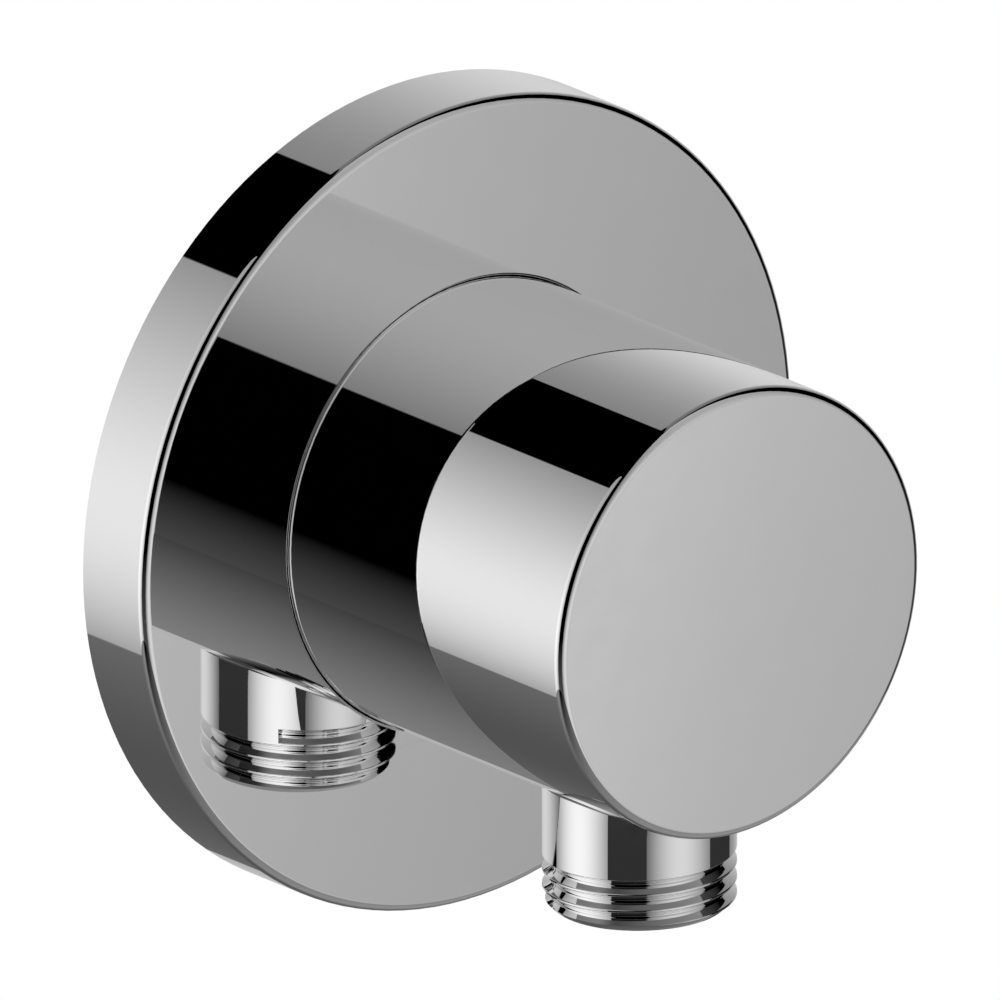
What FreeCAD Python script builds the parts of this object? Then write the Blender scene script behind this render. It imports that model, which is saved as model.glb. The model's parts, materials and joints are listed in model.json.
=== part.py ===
import FreeCAD, Part
import os
import re
import Sketcher

# Wall outlet elbow for a shower hose: a round cover rose, a round brass body with one threaded
# outlet below it, the nipple that screws into the wall, and a check valve inside the outlet.
#
# Frame, in millimetres: the origin is where the body's axis meets the finished wall. +Y goes into
# the wall, the front of the elbow faces -Y, +Z is up and the outlet points down.

SIZES = (
    ("rose_diameter", 91.0, "outside of the round cover rose"),
    ("rose_thickness", 10.4, "from the wall to the rose's front face"),
    ("rose_face_wall", 2.4, "thickness of the rose's front"),
    ("rose_edge_radius", 1.0, "rounding of the rose's front rim"),
    ("rose_hole_gap", 0.05, "gap all round between the body and the rose"),
    ("rose_hole_edge", 0.4, "rounding of the rose's hole at the front"),
    ("rose_collar_wall", 3.6, "thickness of the collar behind the rose's hole"),
    ("rose_collar_length", 8.4, "from the rose's front face to the collar's end"),
    ("rose_inner_radius", 1.0, "casting radius inside the rose"),
    ("rose_wall_gap", 0.3, "the rose's rim stands this far off the wall"),
    ("gasket_lip", 1.2, "metal outside the gasket's groove"),
    ("gasket_width", 2.2, "width of the gasket's groove"),
    ("gasket_inner_lip", 0.9, "metal inside the gasket's groove"),
    ("gasket_thickness", 2.2, "from the wall to the floor of the groove"),
    ("gasket_play", 0.05, "gap on each side of the gasket"),
    ("gasket_edge", 0.35, "rounding of the gasket at the wall"),
    ("grip_section", 1.75, "grip ring's squeezed height, from body to groove floor"),
    ("grip_flat", 0.7, "length of the grip ring's flat, where it is squeezed"),
    ("grip_place", 5.0, "from the rose's front face to the middle of the grip ring"),
    ("body_diameter", 50.5, "outside of the round body"),
    ("body_projection", 45.3, "from the rose's front face to the body's front face"),
    ("body_wall_gap", 1.0, "the body's open end stands this far off the wall"),
    ("body_edge_radius", 1.0, "rounding of the body's front rim"),
    ("body_shell", 3.0, "thickness of the body's round shell"),
    ("body_front_wall", 3.5, "thickness of the body's closed front"),
    ("boss_diameter", 28.0, "outside of the boss round the socket"),
    ("keel_width", 19.0, "width of the solid keel under the boss"),
    ("core_radius", 1.5, "casting radius in the corners of the hollow"),
    ("chamber_diameter", 19.0, "water chamber in front of the socket"),
    ("chamber_overrun", 0.5, "the chamber goes this far past the waterway"),
    ("drill_half_angle", 59.0, "half of the drill point's angle at the chamber's end"),
    ("outlet_place", 28.45, "from the rose's front face to the outlet's axis"),
    ("outlet_drop", 37.4, "from the body's axis down to the outlet's end"),
    ("outlet_thread_length", 7.5, "from the outlet's end up to the start of its thread"),
    ("neck_draft", 0.2, "casting draft of the neck above the thread, in degrees"),
    ("outlet_root_radius", 0.6, "fillet where the outlet leaves the body"),
    ("outlet_end_chamfer", 0.9, "chamfer round the outlet's end"),
    ("outlet_mouth_chamfer", 0.5, "chamfer inside the outlet's mouth"),
    ("waterway_diameter", 13.0, "drilling from the chamber down to the valve"),
    ("thread_diameter", 20.955, "outside of a G1/2 pipe thread"),
    ("wall_thread_length", 14.0, "the thread that goes into the wall"),
    ("wall_thread_chamfer", 1.2, "chamfer at that thread's end"),
    ("collar_diameter", 27.0, "collar of the wall nipple, flat on the wall"),
    ("collar_thickness", 3.5, "thickness of that collar"),
    ("collar_room", 0.7, "gap between the collar and the boss"),
    ("collar_edge", 0.6, "chamfer round the collar's front"),
    ("spigot_diameter", 22.0, "the nipple's spigot, which the body slides over"),
    ("spigot_land", 2.9, "from the outer ring's middle to the spigot's end"),
    ("spigot_lead", 0.8, "chamfer at the spigot's end"),
    ("socket_gap", 0.1, "gap all round between the spigot and its socket"),
    ("socket_end_room", 0.8, "gap between the spigot's end and the socket's floor"),
    ("socket_lead", 1.4, "lead-in chamfer at the socket's mouth"),
    ("nipple_bore", 11.5, "water bore through the wall nipple"),
    ("key_width", 12.0, "across the flats of the nipple's hexagon"),
    ("key_depth", 10.0, "depth of that hexagon"),
    ("seal_section", 1.6, "spigot ring's squeezed height"),
    ("seal_flat", 0.6, "length of its flat"),
    ("seal_place", 5.0, "from the grub screw's axis to the middle of the nearer ring"),
    ("seal_spacing", 4.4, "between the two spigot rings"),
    ("groove_play", 0.15, "gap at each side of a ring in its groove"),
    ("screw_place", 5.0, "from the rose's front face to the grub screw's axis"),
    ("screw_diameter", 6.0, "grub screw and its threaded hole, M6"),
    ("screw_length", 12.0, "length of the grub screw"),
    ("screw_tip", 1.5, "flat on the grub screw's 90 degree point"),
    ("screw_chamfer", 0.5, "chamfer round the grub screw's outer end"),
    ("screw_key", 3.0, "across the flats of the grub screw's hexagon"),
    ("screw_key_depth", 3.0, "depth of that hexagon"),
    ("lock_depth", 1.2, "depth of the spigot's groove for the grub screw"),
    ("lock_floor", 1.7, "width of that groove's floor"),
    ("lock_gap", 0.03, "gap between the screw's point and the groove's floor"),
    ("valve_length", 15.0, "length of the check valve's cartridge"),
    ("valve_diameter", 14.9, "outside of the cartridge"),
    ("valve_gap", 0.1, "gap all round between the cartridge and its bore"),
    ("valve_recess", 1.4, "from the outlet's end up to the cartridge"),
    ("valve_ring_section", 1.35, "cartridge ring's squeezed height"),
    ("valve_ring_flat", 0.5, "length of its flat"),
    ("valve_ring_place", 2.4, "from the cartridge's top to the ring's middle"),
    ("throat_diameter", 8.8, "the valve's throat above its seat"),
    ("throat_flare", 1.1, "chamfer at the cartridge's entry"),
    ("seat_place", 5.3, "from the cartridge's top to the foot of the conical seat"),
    ("valve_chamber", 12.4, "inside of the cartridge below the seat"),
    ("guide_diameter", 13.2, "guide's seat at the cartridge's outlet"),
    ("guide_thickness", 2.4, "thickness of the guide's rim and spokes"),
    ("guide_play", 0.02, "gap round the guide in its seat"),
    ("guide_rim", 1.0, "width of the guide's rim"),
    ("guide_spoke", 1.0, "width of each spoke"),
    ("guide_hub", 4.4, "outside of the guide's hub"),
    ("guide_hub_height", 4.0, "height of that hub"),
    ("stem_diameter", 2.6, "the poppet's stem"),
    ("stem_gap", 0.06, "running gap all round the stem"),
    ("stem_end", 1.3, "from the cartridge's outlet up to the closed poppet's stem"),
    ("stem_chamfer", 0.3, "chamfer round the stem's end"),
    ("plate_diameter", 9.6, "the poppet's plate, which the spring pushes"),
    ("plate_thickness", 1.0, "thickness of that plate"),
    ("plate_place", 6.6, "from the cartridge's top down to the closed plate's underside"),
    ("neck_diameter", 6.4, "the poppet's neck inside its seal"),
    ("poppet_seal_height", 1.7, "height of the seal ring round that neck"),
    ("poppet_seal_diameter", 10.0, "outside of the seal ring"),
    ("poppet_seal_gap", 0.05, "gap between the seal and its seat as modelled"),
    ("nose_diameter", 7.8, "cap of the poppet above its seal"),
    ("nose_rim", 0.7, "straight part of that cap"),
    ("nose_height", 1.4, "taper of the nose above the cap"),
    ("nose_tip", 3.6, "diameter of the nose's top"),
    ("spring_diameter", 6.0, "mean diameter of the valve's spring"),
    ("spring_wire", 0.35, "wire of the valve's spring"),
    ("spring_turns", 5.0, "turns of the valve's spring"),
)

SPOKES = 3

# Places nearer together than this are one place
CLOSE = 0.01

doc = FreeCAD.newDocument("wall_outlet_elbow")
sheet = doc.addObject("Spreadsheet::Sheet", "sizes")
for row, (alias, value, meaning) in enumerate(SIZES, start=1):
    sheet.set(f"A{row}", alias)
    sheet.set(f"B{row}", str(value))
    sheet.set(f"C{row}", meaning)
    sheet.setAlias(f"B{row}", alias)
doc.recompute()

ALIASES = {alias for alias, value, meaning in SIZES}


def formula(words):
    """The expression that a sum of size names stands for."""
    words = str(words)
    return re.sub(r"[a-z_]+", lambda found: in_sheet(found.group()), words)


def in_sheet(word):
    return f"sizes.{word}" if word in ALIASES else word


def number(words):
    """What a sum of size names comes to now."""
    return float(sheet.evalExpression(formula(words)))


def bind(thing, **sizes):
    """Ties properties of a feature to sums of size names."""
    for name, words in sizes.items():
        thing.setExpression(name, formula(words))


def new_body(name, along_wall_axis="0", drop="0"):
    """A piece's body, with its own axis moved along the wall axis and up or down."""
    body = doc.addObject("PartDesign::Body", name)
    body.Label = name
    body.setExpression("Placement.Base.y", formula(along_wall_axis))
    body.setExpression("Placement.Base.z", formula(drop))
    return body


def origin_plane(body, role):
    return next(plane for plane in body.Origin.OriginFeatures if plane.Role == role)


def new_sketch(body, name, plane):
    sketch = body.newObject("Sketcher::SketchObject", name)
    sketch.AttachmentSupport = (origin_plane(body, plane), "")
    sketch.MapMode = "FlatFace"
    return sketch


def hold(sketch, kind, where, words):
    """One dimension of a sketch, tied to a sum of size names."""
    index = sketch.addConstraint(Sketcher.Constraint(kind, *where, number(words)))
    sketch.setExpression(f"Constraints[{index}]", formula(words))


def hold_point(sketch, line, end, across, up):
    hold(sketch, "DistanceX", (line, end), across)
    hold(sketch, "DistanceY", (line, end), up)


def outline(body, name, plane, corners, middle="0"):
    """A closed outline with a straight run between each two corners, set off across by a middle."""
    sketch = new_sketch(body, name, plane)
    corners = [(f"{middle} + ({across})", up) for across, up in corners]
    places = [FreeCAD.Vector(number(across), number(up), 0) for across, up in corners]
    count = len(corners)
    for corner in range(count):
        sketch.addGeometry(Part.LineSegment(places[corner], places[(corner + 1) % count]))
    for corner in range(count):
        sketch.addConstraint(Sketcher.Constraint("Coincident", corner, 2, (corner + 1) % count, 1))
    for corner, (across, up) in enumerate(corners):
        hold_point(sketch, corner, 1, across, up)
    return sketch


def own_axis(sketch, last):
    """Lays a turning axis from an outline's first corner to its last one."""
    ends = (sketch.getPoint(0, 1), sketch.getPoint(last, 1))
    line = sketch.addGeometry(Part.LineSegment(*ends), True)
    sketch.addConstraint(Sketcher.Constraint("Coincident", line, 1, 0, 1))
    sketch.addConstraint(Sketcher.Constraint("Coincident", line, 2, last, 1))


def circle(body, name, plane, across, up, diameter):
    sketch = new_sketch(body, name, plane)
    centre = FreeCAD.Vector(number(across), number(up), 0)
    sketch.addGeometry(Part.Circle(centre, FreeCAD.Vector(0, 0, 1), number(diameter) / 2))
    hold_point(sketch, 0, 3, across, up)
    hold(sketch, "Diameter", (0,), diameter)
    return sketch


def turned(body, name, sketch, axis, cut=False):
    """A sketch turned round an axis of its own plane, added or cut."""
    kind = "PartDesign::Groove" if cut else "PartDesign::Revolution"
    feature = body.newObject(kind, name)
    feature.Profile = sketch
    feature.ReferenceAxis = (sketch, [axis])
    feature.Angle = 360
    sketch.Visibility = False
    return feature


def extruded(body, name, sketch, length, cut=False, reverse=False):
    """A sketch drawn out to a length, added or cut."""
    feature = body.newObject("PartDesign::Pocket" if cut else "PartDesign::Pad", name)
    feature.Profile = sketch
    feature.Reversed = reverse
    bind(feature, Length=length)
    sketch.Visibility = False
    return feature


def edges_where(feature, test):
    doc.recompute()
    return [f"Edge{place}" for place, edge in enumerate(feature.Shape.Edges, start=1) if test(edge)]


def ring_edge(axis, along, diameter):
    """Picks a full circle about a piece's own axis, at a place along it."""
    place, radius = number(along), number(diameter) / 2

    def test(edge):
        curve = edge.Curve
        if not isinstance(curve, Part.Circle):
            return False
        on_place = abs(getattr(curve.Center, axis) - place) < CLOSE
        return on_place and abs(curve.Radius - radius) < CLOSE

    return test


def finished_edges(body, name, kind, feature, size, test):
    """A fillet or a chamfer on the edges that pass a test."""
    found = edges_where(feature, test)
    if not found:
        raise RuntimeError(f"{name}: no edge to finish")
    finish = body.newObject(f"PartDesign::{kind}", name)
    finish.Base = (feature, found)
    bind(finish, **{"Radius" if kind == "Fillet" else "Size": size})
    return finish


def hexagon_socket(body, name, plane, start, width, depth, reverse):
    """A hexagon socket for a key, cut from its mouth down to its depth."""
    socket = body.newObject("PartDesign::SubtractivePrism", name)
    socket.AttachmentSupport = (origin_plane(body, plane), "")
    socket.MapMode = "FlatFace"
    socket.MapReversed = reverse
    socket.Polygon = 6
    bind(socket, Circumradius=f"({width}) / sqrt(3)", Height=depth)
    socket.setExpression("AttachmentOffset.Base.z", formula(start))
    return socket


def squeezed_ring(name, middle, inner_diameter, section, flat, upright=False, **place):
    """A rubber ring squeezed in its groove: flat inside and outside, round at both sides."""
    body = new_body(name, **place)
    sketch = new_sketch(body, f"{name}_section", "YZ_Plane")
    inside = f"({inner_diameter}) / 2"
    outside = f"({inside}) + ({section})"
    half_way = f"({inside}) + ({section}) / 2"
    first = f"({middle}) - ({flat}) / 2"
    last = f"({middle}) + ({flat}) / 2"

    def spot(along, across):
        return (across, along) if upright else (along, across)

    def point(along, across):
        words = spot(along, across)
        return FreeCAD.Vector(number(words[0]), number(words[1]), 0)

    half = number(f"({section}) / 2")
    bulge_out = point(last, half_way) + point(half, 0)
    bulge_back = point(first, half_way) - point(half, 0)
    sketch.addGeometry(Part.LineSegment(point(first, inside), point(last, inside)))
    sketch.addGeometry(Part.Arc(point(last, inside), bulge_out, point(last, outside)))
    sketch.addGeometry(Part.LineSegment(point(last, outside), point(first, outside)))
    sketch.addGeometry(Part.Arc(point(first, outside), bulge_back, point(first, inside)))
    ends = round_ends(sketch)
    for line, other in (((0, 2), ends[1][0]), ((2, 1), ends[1][1]), ((2, 2), ends[3][0]), ((0, 1), ends[3][1])):
        sketch.addConstraint(Sketcher.Constraint("Coincident", *line, *other))
    hold_point(sketch, 0, 1, *spot(first, inside))
    hold_point(sketch, 0, 2, *spot(last, inside))
    hold_point(sketch, 2, 1, *spot(last, outside))
    hold_point(sketch, 2, 2, *spot(first, outside))
    hold(sketch, "DistanceY" if upright else "DistanceX", (1, 3), last)
    hold(sketch, "DistanceY" if upright else "DistanceX", (3, 3), first)
    turned(body, f"{name}_turned", sketch, "V_Axis" if upright else "H_Axis")
    return body


def round_ends(sketch):
    """For each arc, which of its ends is where the arc was begun and which where it was ended."""
    found = {}
    for index in (1, 3):
        before = sketch.Geometry[index - 1].EndPoint
        first_is_start = sketch.getPoint(index, 1).distanceToPoint(before) < CLOSE
        found[index] = ((index, 1), (index, 2)) if first_is_start else ((index, 2), (index, 1))
    return found


# Places that several pieces share
ROSE_FRONT = "0 - rose_thickness"
BODY_FRONT = "0 - rose_thickness - body_projection"
OUTLET_AXIS = "0 - rose_thickness - outlet_place"
SCREW_AXIS = "0 - rose_thickness - screw_place"
RING_MIDDLES = (
    f"{SCREW_AXIS} - seal_place",
    f"{SCREW_AXIS} - seal_place - seal_spacing",
)
SPIGOT_END = f"{RING_MIDDLES[1]} - spigot_land"
VALVE_FOOT = "0 - outlet_drop + valve_recess"
SOCKET = "spigot_diameter + 2 * socket_gap"
VALVE_BORE = "valve_diameter + 2 * valve_gap"
GRIP_MIDDLE = f"{ROSE_FRONT} + grip_place"


def make_rose():
    """The cover rose: a turned brass cap, open behind, with a collar that slides on the body."""
    body = new_body("rose")
    rim = "rose_diameter / 2"
    hole = "body_diameter / 2 + rose_hole_gap"
    rear = "0 - rose_wall_gap"
    groove_outside = f"{rim} - gasket_lip"
    groove_inside = f"{groove_outside} - gasket_width"
    rim_inside = f"{groove_inside} - gasket_inner_lip"
    floor = f"{ROSE_FRONT} + rose_face_wall"
    collar = f"{hole} + rose_collar_wall"
    collar_end = f"{ROSE_FRONT} + rose_collar_length"
    grip_floor = "body_diameter / 2 + grip_section"
    grip_half = "((grip_section + grip_flat) / 2 + groove_play)"
    section = outline(body, "rose_section", "YZ_Plane", (
        (ROSE_FRONT, hole),
        (ROSE_FRONT, rim),
        (rear, rim),
        (rear, groove_outside),
        ("0 - gasket_thickness", groove_outside),
        ("0 - gasket_thickness", groove_inside),
        (rear, groove_inside),
        (rear, rim_inside),
        (floor, rim_inside),
        (floor, collar),
        (collar_end, collar),
        (collar_end, hole),
        (f"{GRIP_MIDDLE} + {grip_half}", hole),
        (f"{GRIP_MIDDLE} + {grip_half}", grip_floor),
        (f"{GRIP_MIDDLE} - {grip_half}", grip_floor),
        (f"{GRIP_MIDDLE} - {grip_half}", hole),
    ))
    shell = turned(body, "rose_turned", section, "H_Axis")
    inner = ring_edge("y", floor, f"2 * ({rim_inside})")
    shell = finished_edges(body, "rose_inner_corner", "Fillet", shell, "rose_inner_radius", inner)
    front = ring_edge("y", ROSE_FRONT, "rose_diameter")
    shell = finished_edges(body, "rose_front_rim", "Fillet", shell, "rose_edge_radius", front)
    hole_edge = ring_edge("y", ROSE_FRONT, f"2 * ({hole})")
    finished_edges(body, "rose_hole_rim", "Fillet", shell, "rose_hole_edge", hole_edge)


def make_rose_gasket():
    """The rubber gasket in the rose's rear rim, which lies on the wall."""
    body = new_body("rose_gasket")
    outside = "rose_diameter / 2 - gasket_lip - gasket_play"
    inside = "rose_diameter / 2 - gasket_lip - gasket_width + gasket_play"
    section = outline(body, "gasket_section", "YZ_Plane", (
        ("0 - gasket_thickness", inside),
        ("0 - gasket_thickness", outside),
        ("0", outside),
        ("0", inside),
    ))
    ring = turned(body, "gasket_turned", section, "H_Axis")
    for side, radius in (("outer", outside), ("inner", inside)):
        at_wall = ring_edge("y", "0", f"2 * ({radius})")
        ring = finished_edges(body, f"gasket_{side}_edge", "Fillet", ring, "gasket_edge", at_wall)


def hollow_section(body):
    """The cored hollow round the boss, seen from the wall: a ring that the keel breaks below."""
    sketch = new_sketch(body, "hollow_section", "XZ_Plane")
    outer = number("body_diameter / 2 - body_shell")
    inner = number("boss_diameter / 2")
    side = number("keel_width / 2")
    top = FreeCAD.Vector(0, 1, 0)
    outer_foot = -((outer**2 - side**2) ** 0.5)
    inner_foot = -((inner**2 - side**2) ** 0.5)
    corners = [
        FreeCAD.Vector(side, outer_foot, 0),
        FreeCAD.Vector(-side, outer_foot, 0),
        FreeCAD.Vector(-side, inner_foot, 0),
        FreeCAD.Vector(side, inner_foot, 0),
    ]
    sketch.addGeometry(Part.Arc(corners[0], top * outer, corners[1]))
    sketch.addGeometry(Part.LineSegment(corners[1], corners[2]))
    sketch.addGeometry(Part.Arc(corners[3], top * inner, corners[2]))
    sketch.addGeometry(Part.LineSegment(corners[3], corners[0]))
    for arc, radius in ((0, "body_diameter / 2 - body_shell"), (2, "boss_diameter / 2")):
        sketch.addConstraint(Sketcher.Constraint("Coincident", arc, 3, -1, 1))
        hold(sketch, "Radius", (arc,), radius)
    sketch.addConstraint(Sketcher.Constraint("Coincident", 0, 2, 1, 1))
    sketch.addConstraint(Sketcher.Constraint("Coincident", 1, 2, 2, 2))
    sketch.addConstraint(Sketcher.Constraint("Coincident", 2, 1, 3, 1))
    sketch.addConstraint(Sketcher.Constraint("Coincident", 3, 2, 0, 1))
    for line, end, words in (
        (1, 1, "0 - keel_width / 2"),
        (1, 2, "0 - keel_width / 2"),
        (3, 1, "keel_width / 2"),
        (3, 2, "keel_width / 2"),
    ):
        hold(sketch, "DistanceX", (line, end), words)
    return sketch


def make_outlet_body():
    """The outlet body: one brass casting, cored from behind, with a boss, a keel and the outlet."""
    body = new_body("outlet_body")
    barrel_section = outline(body, "barrel_section", "YZ_Plane", (
        (BODY_FRONT, "0"),
        (BODY_FRONT, "body_diameter / 2"),
        ("0 - body_wall_gap", "body_diameter / 2"),
        ("0 - body_wall_gap", "0"),
    ))
    turned(body, "barrel", barrel_section, "H_Axis")
    neck_height = "(outlet_drop - outlet_thread_length)"
    neck_spread = f"{neck_height} * tan(neck_draft)"
    stub_corners = (
        ("0", "0"),
        (f"thread_diameter / 2 + {neck_spread}", "0"),
        ("thread_diameter / 2", f"0 - {neck_height}"),
        ("thread_diameter / 2", "0 - outlet_drop"),
        ("0", "0 - outlet_drop"),
    )
    stub_section = outline(body, "outlet_stub_section", "YZ_Plane", stub_corners, middle=OUTLET_AXIS)
    own_axis(stub_section, len(stub_corners) - 1)
    form = turned(body, "outlet_stub", stub_section, "Axis0")

    outlet_axis = number(OUTLET_AXIS)
    outlet_radius = number("thread_diameter / 2")
    neck_radius = number(f"thread_diameter / 2 + {neck_spread}")
    barrel_radius = number("body_diameter / 2")

    def root(edge):
        middle = edge.valueAt((edge.FirstParameter + edge.LastParameter) / 2)
        from_outlet = (middle.x**2 + (middle.y - outlet_axis) ** 2) ** 0.5
        from_barrel = (middle.x**2 + middle.z**2) ** 0.5
        return outlet_radius < from_outlet < neck_radius and abs(from_barrel - barrel_radius) < CLOSE

    form = finished_edges(body, "outlet_root", "Fillet", form, "outlet_root_radius", root)
    front = ring_edge("y", BODY_FRONT, "body_diameter")
    form = finished_edges(body, "front_rim", "Fillet", form, "body_edge_radius", front)
    outlet_end = ring_edge("z", "0 - outlet_drop", "thread_diameter")
    form = finished_edges(body, "outlet_end", "Chamfer", form, "outlet_end_chamfer", outlet_end)

    hollow_end = "rose_thickness + body_projection - body_front_wall"
    hollow = extruded(body, "hollow", hollow_section(body), hollow_end, cut=True, reverse=True)
    keel_side = number("keel_width / 2")

    def corner(edge):
        if not isinstance(edge.Curve, Part.Line):
            return False
        start, end = edge.firstVertex().Point, edge.lastVertex().Point
        along_body = abs(abs(end.y - start.y) - edge.Length) < CLOSE
        return along_body and abs(abs(start.x) - keel_side) < CLOSE

    finished_edges(body, "hollow_corners", "Fillet", hollow, "core_radius", corner)

    recess_floor = "0 - collar_thickness - collar_room"
    socket_floor = f"{SPIGOT_END} - socket_end_room"
    chamber_end = f"{OUTLET_AXIS} - waterway_diameter / 2 - chamber_overrun"
    drill_point = "chamber_diameter / 2 / tan(drill_half_angle)"
    socket_section = outline(body, "socket_section", "YZ_Plane", (
        ("0", "0"),
        ("0", "body_diameter / 2 - body_shell"),
        (recess_floor, "body_diameter / 2 - body_shell"),
        (recess_floor, f"({SOCKET}) / 2 + socket_lead / 2"),
        (f"{recess_floor} - socket_lead", f"({SOCKET}) / 2"),
        (socket_floor, f"({SOCKET}) / 2"),
        (socket_floor, "chamber_diameter / 2"),
        (chamber_end, "chamber_diameter / 2"),
        (f"{chamber_end} - {drill_point}", "0"),
    ))
    turned(body, "socket", socket_section, "H_Axis", cut=True)

    valve_top = f"{VALVE_FOOT} + valve_length"
    mouth = "0 - outlet_drop"
    bore_corners = (
        ("0", "0"),
        ("waterway_diameter / 2", "0"),
        ("waterway_diameter / 2", valve_top),
        (f"({VALVE_BORE}) / 2", valve_top),
        (f"({VALVE_BORE}) / 2", f"{mouth} + outlet_mouth_chamfer"),
        (f"({VALVE_BORE}) / 2 + outlet_mouth_chamfer", mouth),
        ("0", mouth),
    )
    bore_section = outline(body, "bore_section", "YZ_Plane", bore_corners, middle=OUTLET_AXIS)
    own_axis(bore_section, len(bore_corners) - 1)
    turned(body, "outlet_bore", bore_section, "Axis0", cut=True)

    screw_circle = circle(body, "screw_circle", "XY_Plane", "0", SCREW_AXIS, "screw_diameter")
    extruded(body, "screw_hole", screw_circle, "body_diameter", cut=True)


def make_wall_nipple():
    """The brass nipple that screws into the wall, and whose spigot carries the outlet body."""
    body = new_body("wall_nipple")
    seal_floor = f"({SOCKET}) / 2 - seal_section"
    seal_half = "((seal_section + seal_flat) / 2 + groove_play)"
    lock_half = "(lock_floor / 2 + lock_depth)"
    corners = [
        ("wall_thread_length", "0"),
        ("wall_thread_length", "thread_diameter / 2 - wall_thread_chamfer"),
        ("wall_thread_length - wall_thread_chamfer", "thread_diameter / 2"),
        ("0", "thread_diameter / 2"),
        ("0", "collar_diameter / 2"),
        ("0 - collar_thickness + collar_edge", "collar_diameter / 2"),
        ("0 - collar_thickness", "collar_diameter / 2 - collar_edge"),
        ("0 - collar_thickness", "spigot_diameter / 2"),
        (f"{SCREW_AXIS} + {lock_half}", "spigot_diameter / 2"),
        (f"{SCREW_AXIS} + lock_floor / 2", "spigot_diameter / 2 - lock_depth"),
        (f"{SCREW_AXIS} - lock_floor / 2", "spigot_diameter / 2 - lock_depth"),
        (f"{SCREW_AXIS} - {lock_half}", "spigot_diameter / 2"),
    ]
    for middle in RING_MIDDLES:
        corners += [
            (f"{middle} + {seal_half}", "spigot_diameter / 2"),
            (f"{middle} + {seal_half}", seal_floor),
            (f"{middle} - {seal_half}", seal_floor),
            (f"{middle} - {seal_half}", "spigot_diameter / 2"),
        ]
    corners += [
        (f"{SPIGOT_END} + spigot_lead", "spigot_diameter / 2"),
        (SPIGOT_END, "spigot_diameter / 2 - spigot_lead"),
        (SPIGOT_END, "0"),
    ]
    turned(body, "nipple_turned", outline(body, "nipple_section", "YZ_Plane", corners), "H_Axis")
    bore_circle = circle(body, "nipple_bore_circle", "XZ_Plane", "0", "0", "nipple_bore")
    both_ends = f"2 * (wall_thread_length - ({SPIGOT_END}))"
    bore = extruded(body, "nipple_bore_cut", bore_circle, both_ends, cut=True)
    bore.Midplane = True
    key_floor = f"0 - ({SPIGOT_END}) - key_depth"
    hexagon_socket(body, "nipple_key", "XZ_Plane", key_floor, "key_width", "key_depth", False)


def make_spigot_rings():
    """The two water seals in the spigot's grooves. The outer one is nearer the wall."""
    for middle, name in zip(RING_MIDDLES, ("spigot_o_ring_outer", "spigot_o_ring_inner")):
        squeezed_ring(name, middle, f"{SOCKET} - 2 * seal_section", "seal_section", "seal_flat")


def make_grub_screw():
    """The stainless grub screw, driven up from below into the spigot's groove."""
    tip = "lock_depth - spigot_diameter / 2 - lock_gap"
    body = new_body("grub_screw", along_wall_axis=SCREW_AXIS, drop=tip)
    section = outline(body, "screw_section", "YZ_Plane", (
        ("0", "0"),
        ("screw_tip / 2", "0"),
        ("screw_diameter / 2", "screw_tip / 2 - screw_diameter / 2"),
        ("screw_diameter / 2", "screw_chamfer - screw_length"),
        ("screw_diameter / 2 - screw_chamfer", "0 - screw_length"),
        ("0", "0 - screw_length"),
    ))
    turned(body, "screw_turned", section, "V_Axis")
    hexagon_socket(body, "screw_key_cut", "XY_Plane", "0 - screw_length", "screw_key", "screw_key_depth", False)


def valve_body(name):
    """A piece of the cartridge: its own origin is the middle of the cartridge's outlet end."""
    return new_body(name, along_wall_axis=OUTLET_AXIS, drop=VALVE_FOOT)


def make_valve_housing():
    """The cartridge's moulded housing, with the throat and the conical seat."""
    body = valve_body("valve_housing")
    outside = "valve_diameter / 2"
    ring_floor = f"({VALVE_BORE}) / 2 - valve_ring_section"
    ring_half = "((valve_ring_section + valve_ring_flat) / 2 + groove_play)"
    ring_middle = "valve_length - valve_ring_place"
    seat_foot = "valve_length - seat_place"
    section = outline(body, "housing_section", "YZ_Plane", (
        ("guide_diameter / 2", "0"),
        (outside, "0"),
        (outside, f"{ring_middle} - {ring_half}"),
        (ring_floor, f"{ring_middle} - {ring_half}"),
        (ring_floor, f"{ring_middle} + {ring_half}"),
        (outside, f"{ring_middle} + {ring_half}"),
        (outside, "valve_length"),
        ("throat_diameter / 2 + throat_flare", "valve_length"),
        ("throat_diameter / 2", "valve_length - throat_flare"),
        ("throat_diameter / 2", f"{seat_foot} + (valve_chamber - throat_diameter) / 2"),
        ("valve_chamber / 2", seat_foot),
        ("valve_chamber / 2", "guide_thickness"),
        ("guide_diameter / 2", "guide_thickness"),
    ))
    turned(body, "housing_turned", section, "V_Axis")


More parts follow.
